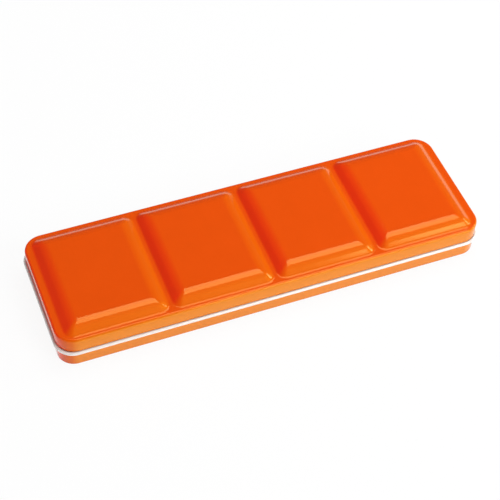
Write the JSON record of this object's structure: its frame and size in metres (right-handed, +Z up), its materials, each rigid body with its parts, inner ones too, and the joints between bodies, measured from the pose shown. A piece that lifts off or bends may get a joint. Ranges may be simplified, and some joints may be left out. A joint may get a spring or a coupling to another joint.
{
  "type": "watercolour paint box",
  "caption": "Long lacquered tin paint box with a hinged lid pressed into domed mixing wells, a rolled white rim, and a sprung clip tray of half pans beside a brush channel",
  "frame": {"origin": "centre of the flat underside of the base tin", "axes": "+X along the length to the right, +Y to the back where the hinges are, +Z up"},
  "size_m": [0.2404, 0.0789, 0.0237],
  "materials": {
    "orange_lacquer": "high gloss baked orange lacquer on tinplate",
    "white_enamel": "glossy white baked enamel on tinplate",
    "bright_steel": "bright nickel plated steel",
    "white_pan": "satin white moulded plastic",
    "paint_chinese_white": "dry watercolour cake, matt with a faint gum sheen",
    "paint_lemon_yellow": "dry watercolour cake, matt with a faint gum sheen",
    "paint_cadmium_yellow": "dry watercolour cake, matt with a faint gum sheen",
    "paint_naples_yellow": "dry watercolour cake, matt with a faint gum sheen",
    "paint_yellow_ochre": "dry watercolour cake, matt with a faint gum sheen",
    "paint_cadmium_orange": "dry watercolour cake, matt with a faint gum sheen",
    "paint_vermilion": "dry watercolour cake, matt with a faint gum sheen",
    "paint_cadmium_red": "dry watercolour cake, matt with a faint gum sheen",
    "paint_carmine": "dry watercolour cake, matt with a faint gum sheen",
    "paint_rose_madder": "dry watercolour cake, matt with a faint gum sheen",
    "paint_magenta": "dry watercolour cake, matt with a faint gum sheen",
    "paint_dioxazine_violet": "dry watercolour cake, matt with a faint gum sheen",
    "paint_ultramarine": "dry watercolour cake, matt with a faint gum sheen",
    "paint_cobalt_blue": "dry watercolour cake, matt with a faint gum sheen",
    "paint_cerulean_blue": "dry watercolour cake, matt with a faint gum sheen",
    "paint_prussian_blue": "dry watercolour cake, matt with a faint gum sheen",
    "paint_turquoise": "dry watercolour cake, matt with a faint gum sheen",
    "paint_viridian": "dry watercolour cake, matt with a faint gum sheen",
    "paint_sap_green": "dry watercolour cake, matt with a faint gum sheen",
    "paint_olive_green": "dry watercolour cake, matt with a faint gum sheen",
    "paint_raw_sienna": "dry watercolour cake, matt with a faint gum sheen",
    "paint_burnt_sienna": "dry watercolour cake, matt with a faint gum sheen",
    "paint_burnt_umber": "dry watercolour cake, matt with a faint gum sheen",
    "paint_lamp_black": "dry watercolour cake, matt with a faint gum sheen"
  },
  "bodies": {
    "base": {"base_tin": "orange_lacquer", "pan_clip_tray": "white_enamel", "base_hinge_leaf_left": "bright_steel", "hinge_pin_left": "bright_steel", "base_hinge_leaf_right": "bright_steel", "hinge_pin_right": "bright_steel", "half_pan_01": "white_pan", "half_pan_02": "white_pan", "half_pan_03": "white_pan", "half_pan_04": "white_pan", "half_pan_05": "white_pan", "half_pan_06": "white_pan", "half_pan_07": "white_pan", "half_pan_08": "white_pan", "half_pan_09": "white_pan", "half_pan_10": "white_pan", "half_pan_11": "white_pan", "half_pan_12": "white_pan", "half_pan_13": "white_pan", "half_pan_14": "white_pan", "half_pan_15": "white_pan", "half_pan_16": "white_pan", "half_pan_17": "white_pan", "half_pan_18": "white_pan", "half_pan_19": "white_pan", "half_pan_20": "white_pan", "half_pan_21": "white_pan", "half_pan_22": "white_pan", "half_pan_23": "white_pan", "half_pan_24": "white_pan", "paint_cake_01": "paint_chinese_white", "paint_cake_02": "paint_lemon_yellow", "paint_cake_03": "paint_cadmium_yellow", "paint_cake_04": "paint_naples_yellow", "paint_cake_05": "paint_yellow_ochre", "paint_cake_06": "paint_cadmium_orange", "paint_cake_07": "paint_vermilion", "paint_cake_08": "paint_cadmium_red", "paint_cake_09": "paint_carmine", "paint_cake_10": "paint_rose_madder", "paint_cake_11": "paint_magenta", "paint_cake_12": "paint_dioxazine_violet", "paint_cake_13": "paint_ultramarine", "paint_cake_14": "paint_cobalt_blue", "paint_cake_15": "paint_cerulean_blue", "paint_cake_16": "paint_prussian_blue", "paint_cake_17": "paint_turquoise", "paint_cake_18": "paint_viridian", "paint_cake_19": "paint_sap_green", "paint_cake_20": "paint_olive_green", "paint_cake_21": "paint_raw_sienna", "paint_cake_22": "paint_burnt_sienna", "paint_cake_23": "paint_burnt_umber", "paint_cake_24": "paint_lamp_black"},
    "lid": {"lid_tin": "orange_lacquer", "lid_hinge_leaf_left": "bright_steel", "lid_hinge_leaf_right": "bright_steel"}
  },
  "joints": [
    {"name": "lid_hinge", "type": "hinge", "parent": "base", "child": "lid", "pos_m": [0, 0.03963, 0.012], "axis": [-1, 0, 0], "range_deg": [0, 180]}
  ]
}
